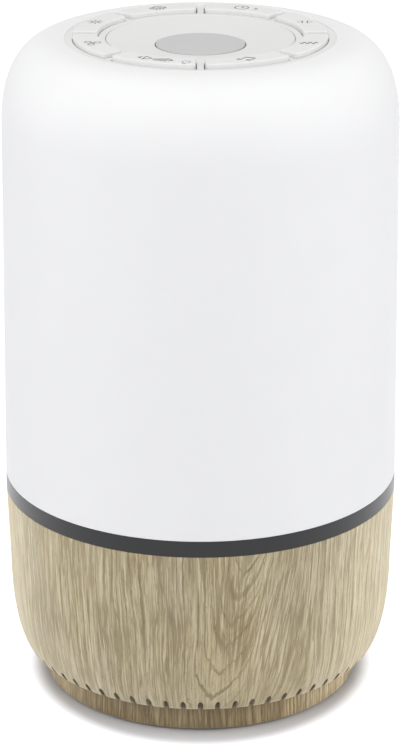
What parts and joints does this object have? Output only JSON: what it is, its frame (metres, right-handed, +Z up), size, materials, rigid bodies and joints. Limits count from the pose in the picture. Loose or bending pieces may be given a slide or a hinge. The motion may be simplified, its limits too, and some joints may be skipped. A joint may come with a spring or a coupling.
{
  "type": "white noise sound machine",
  "caption": "Round bedside sound machine and night light: wood-look vented base, charcoal band, tall white diffuser dome and a keyed control deck.",
  "frame": {"origin": "on the surface it stands on, on the machine's axis, at the middle of the anti-slip ring's underside", "axes": "+Z up along the axis of the body, -Y towards the front, +Y towards the power inlet"},
  "size_m": [0.1, 0.1, 0.1696],
  "materials": {
    "wood_look": "light oak look, satin",
    "wood_look_foot": "light oak look, satin",
    "anti_slip": "matt rubber",
    "black_plastic": "fine texture",
    "gasket_foam": "matt foam",
    "speaker_steel": "black zinc",
    "surround_rubber": "satin rubber",
    "cone_paper": "pressed paper",
    "coil_copper": "enamelled copper",
    "ferrite": "sintered, matt",
    "zinc_steel": "zinc plated",
    "wire_red": "vinyl sleeve",
    "wire_black": "vinyl sleeve",
    "wire_white": "vinyl sleeve",
    "inlet_metal": "bright nickel",
    "inlet_black": "glass-filled",
    "board_green": "solder mask",
    "board_white": "white solder mask",
    "chip_black": "moulded epoxy",
    "frame_white": "as moulded",
    "charcoal_trim": "satin charcoal",
    "led_lens": "phosphor lens",
    "reflector_white": "high-reflection white",
    "cable_grey": "flat cable",
    "connector_cream": "nylon",
    "dome_white": "satin translucent white",
    "deck_white": "fine satin",
    "key_white": "fine satin, printed symbol",
    "button_grey": "satin grey",
    "plunger_amber": "nylon"
  },
  "bodies": {
    "housing": {"base_shell": "wood_look", "foot_plinth": "wood_look_foot", "anti_slip_ring": "anti_slip", "sound_deflector": "black_plastic", "speaker_plate": "black_plastic", "speaker_gasket": "gasket_foam", "speaker_frame": "speaker_steel", "speaker_surround": "surround_rubber", "speaker_cone": "cone_paper", "speaker_dust_cap": "cone_paper", "voice_coil": "coil_copper", "speaker_magnet": "ferrite", "speaker_yoke": "zinc_steel", "speaker_leads": "wire_red", "inlet_shell": "inlet_metal", "inlet_tongue": "inlet_black", "inlet_board": "board_green", "inlet_leads": "wire_black", "main_board": "board_green", "main_board_parts": "chip_black", "mid_frame": "frame_white", "accent_band": "charcoal_trim", "led_board": "board_white", "leds": "led_lens", "led_leads": "wire_white", "reflector_tray": "reflector_white", "centre_post": "frame_white", "ribbon_cable": "cable_grey", "ribbon_connectors": "connector_cream", "diffuser_dome": "dome_white", "deck_frame": "deck_white", "dish_plate": "deck_white", "button_board": "board_green", "switch_housings": "chip_black", "case_screws": "zinc_steel", "frame_screws": "zinc_steel", "board_screws": "zinc_steel"},
    "melody_button": {"melody_key": "key_white", "melody_plunger": "plunger_amber"},
    "wave_button": {"wave_key": "key_white", "wave_plunger": "plunger_amber"},
    "light_button": {"light_key": "key_white", "light_plunger": "plunger_amber"},
    "timer_button": {"timer_key": "key_white", "timer_plunger": "plunger_amber"},
    "cloud_button": {"cloud_key": "key_white", "cloud_plunger": "plunger_amber"},
    "sun_button": {"sun_key": "key_white", "sun_plunger": "plunger_amber"},
    "fan_button": {"fan_key": "key_white", "fan_plunger": "plunger_amber"},
    "level_button": {"level_key": "key_white", "level_plunger": "plunger_amber"},
    "main_button": {"centre_button": "button_grey", "centre_plunger": "plunger_amber"}
  },
  "joints": [
    {"name": "melody_key_press", "type": "slide", "parent": "housing", "child": "melody_button", "axis": [0, 0, -1], "range_m": [0, 0.0006], "stiffness_N_per_m": 600},
    {"name": "wave_key_press", "type": "slide", "parent": "housing", "child": "wave_button", "axis": [0, 0, -1], "range_m": [0, 0.0006], "stiffness_N_per_m": 600},
    {"name": "light_key_press", "type": "slide", "parent": "housing", "child": "light_button", "axis": [0, 0, -1], "range_m": [0, 0.0006], "stiffness_N_per_m": 600},
    {"name": "timer_key_press", "type": "slide", "parent": "housing", "child": "timer_button", "axis": [0, 0, -1], "range_m": [0, 0.0006], "stiffness_N_per_m": 600},
    {"name": "cloud_key_press", "type": "slide", "parent": "housing", "child": "cloud_button", "axis": [0, 0, -1], "range_m": [0, 0.0006], "stiffness_N_per_m": 600},
    {"name": "sun_key_press", "type": "slide", "parent": "housing", "child": "sun_button", "axis": [0, 0, -1], "range_m": [0, 0.0006], "stiffness_N_per_m": 600},
    {"name": "fan_key_press", "type": "slide", "parent": "housing", "child": "fan_button", "axis": [0, 0, -1], "range_m": [0, 0.0006], "stiffness_N_per_m": 600},
    {"name": "level_key_press", "type": "slide", "parent": "housing", "child": "level_button", "axis": [0, 0, -1], "range_m": [0, 0.0006], "stiffness_N_per_m": 600},
    {"name": "centre_button_press", "type": "slide", "parent": "housing", "child": "main_button", "axis": [0, 0, -1], "range_m": [0, 0.0006], "stiffness_N_per_m": 600}
  ]
}
